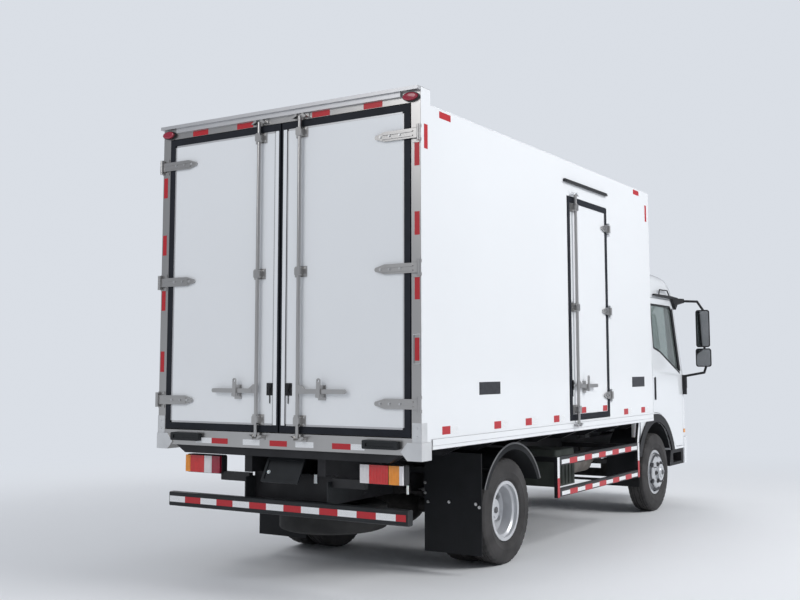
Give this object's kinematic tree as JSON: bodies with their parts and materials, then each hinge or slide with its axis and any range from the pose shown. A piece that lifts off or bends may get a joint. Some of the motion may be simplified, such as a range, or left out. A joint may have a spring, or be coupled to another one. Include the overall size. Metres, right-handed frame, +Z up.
{
  "type": "refrigerated box truck",
  "caption": "Light cab-over refrigerated truck with an insulated white box body, twin rear doors, a side door, a front-wall cooling unit and twin rear wheels.",
  "frame": {"origin": "on the ground, midway along and across the truck", "axes": "+X forward, +Y to the truck's left, +Z up"},
  "size_m": [6.007, 2.564, 3.249],
  "materials": {
    "frame_black": "satin",
    "cast_dark": "rough",
    "spring_steel": "satin",
    "shaft_black": "satin",
    "engine_grey": "rough",
    "exhaust_steel": "heat dulled",
    "tank_steel": "satin",
    "battery_plastic": "matte",
    "spare_rubber": "matte",
    "panel_white": "gloss gel coat",
    "floor_aluminium": "ribbed",
    "stainless": "brushed",
    "moulding_aluminium": "satin",
    "unit_white": "gloss",
    "lamp_lens": "gloss",
    "head_lens": "clear",
    "bumper_black": "satin",
    "guard_black": "satin",
    "mudguard_plastic": "matte",
    "cab_paint": "gloss",
    "cab_glass": "clear",
    "trim_grey": "grained",
    "seat_cloth": "woven",
    "trim_black": "grained",
    "seal_rubber": "matte",
    "rim_silver": "silver",
    "tyre_rubber": "matte"
  },
  "bodies": {
    "chassis": {"chassis_frame": "frame_black", "leaf_springs": "spring_steel", "rear_axle": "cast_dark", "front_axle": "cast_dark", "drive_shaft": "shaft_black", "engine_block": "engine_grey", "exhaust": "exhaust_steel", "tanks": "tank_steel", "battery_box": "battery_plastic", "spare_wheel": "spare_rubber", "floor_subframe": "frame_black", "box_floor": "floor_aluminium", "box_side_left": "panel_white", "box_side_right": "panel_white", "box_front_wall": "panel_white", "box_roof": "panel_white", "rear_frame": "stainless", "body_rails": "moulding_aluminium", "cooling_unit": "unit_white", "tail_lamps": "lamp_lens", "rear_bumper": "bumper_black", "side_guards": "guard_black", "rear_mudguards": "mudguard_plastic", "cab_floor": "trim_grey", "cab_back_wall": "cab_paint", "cab_roof": "cab_paint", "cab_sides": "cab_paint", "cab_front": "cab_paint", "windscreen": "cab_glass", "dashboard": "trim_grey", "seats": "seat_cloth", "front_grille": "trim_black", "headlamps": "head_lens", "front_bumper": "cab_paint", "arch_trims": "trim_black", "mirrors": "trim_black"},
    "rear_door_left": {"rear_door_left": "panel_white", "rear_seal_left": "seal_rubber", "rear_lock_gear_left": "stainless"},
    "rear_door_right": {"rear_door_right": "panel_white", "rear_seal_right": "seal_rubber", "rear_lock_gear_right": "stainless"},
    "side_door": {"side_door": "panel_white", "side_seal": "seal_rubber", "side_lock_gear": "stainless"},
    "cab_door_left": {"cab_door_left": "cab_paint", "cab_glass_left": "cab_glass"},
    "cab_door_right": {"cab_door_right": "cab_paint", "cab_glass_right": "cab_glass"},
    "knuckle_left": {"steering_knuckle_left": "cast_dark"},
    "knuckle_right": {"steering_knuckle_right": "cast_dark"},
    "tie_rod": {"tie_rod": "cast_dark"},
    "front_wheel_left": {"front_tyre_left": "tyre_rubber", "front_rim_left": "rim_silver"},
    "front_wheel_right": {"front_tyre_right": "tyre_rubber", "front_rim_right": "rim_silver"},
    "rear_wheels_left": {"rear_tyres_left": "tyre_rubber", "rear_rims_left": "rim_silver"},
    "rear_wheels_right": {"rear_tyres_right": "tyre_rubber", "rear_rims_right": "rim_silver"}
  },
  "joints": [
    {"name": "rear_door_left_hinge", "type": "hinge", "parent": "chassis", "child": "rear_door_left", "pos_m": [-2.9805, 1.13, 2.0805], "axis": [0, 0, -1], "range_deg": [0, 250]},
    {"name": "rear_door_right_hinge", "type": "hinge", "parent": "chassis", "child": "rear_door_right", "pos_m": [-2.9805, -1.13, 2.0805], "axis": [0, 0, 1], "range_deg": [0, 250]},
    {"name": "side_door_hinge", "type": "hinge", "parent": "chassis", "child": "side_door", "pos_m": [0.1995, -1.152, 1.939], "axis": [0, 0, 1], "range_deg": [0, 170]},
    {"name": "cab_door_left_hinge", "type": "hinge", "parent": "chassis", "child": "cab_door_left", "pos_m": [2.795, 0.945, 1.2], "axis": [0, 0, -1], "range_deg": [0, 70]},
    {"name": "cab_door_right_hinge", "type": "hinge", "parent": "chassis", "child": "cab_door_right", "pos_m": [2.795, -0.945, 1.2], "axis": [0, 0, 1], "range_deg": [0, 70]},
    {"name": "steering_left", "type": "hinge", "parent": "chassis", "child": "knuckle_left", "pos_m": [1.9075, 0.752, 0.3875], "axis": [0, 0, 1], "range_deg": [-35, 35]},
    {"name": "steering_right", "type": "hinge", "parent": "chassis", "child": "knuckle_right", "pos_m": [1.9075, -0.752, 0.3875], "axis": [0, 0, 1], "range_deg": [-35, 35]},
    {"name": "tie_rod_swing", "type": "hinge", "parent": "knuckle_left", "child": "tie_rod", "pos_m": [1.7575, 0.752, 0.3], "axis": [0, 0, 1], "range_deg": [-35, 35]},
    {"name": "front_wheel_left_spin", "type": "hinge", "parent": "knuckle_left", "child": "front_wheel_left", "pos_m": [1.9075, 0.85, 0.3875], "axis": [0, 1, 0], "continuous": true},
    {"name": "front_wheel_right_spin", "type": "hinge", "parent": "knuckle_right", "child": "front_wheel_right", "pos_m": [1.9075, -0.85, 0.3875], "axis": [0, 1, 0], "continuous": true},
    {"name": "rear_wheels_left_spin", "type": "hinge", "parent": "chassis", "child": "rear_wheels_left", "pos_m": [-1.4525, 0.75, 0.3875], "axis": [0, 1, 0], "continuous": true},
    {"name": "rear_wheels_right_spin", "type": "hinge", "parent": "chassis", "child": "rear_wheels_right", "pos_m": [-1.4525, -0.75, 0.3875], "axis": [0, 1, 0], "continuous": true}
  ],
  "couplings": [
    {"joint": "steering_right", "follows": "steering_left", "ratio": 1},
    {"joint": "tie_rod_swing", "follows": "steering_left", "ratio": -1}
  ]
}
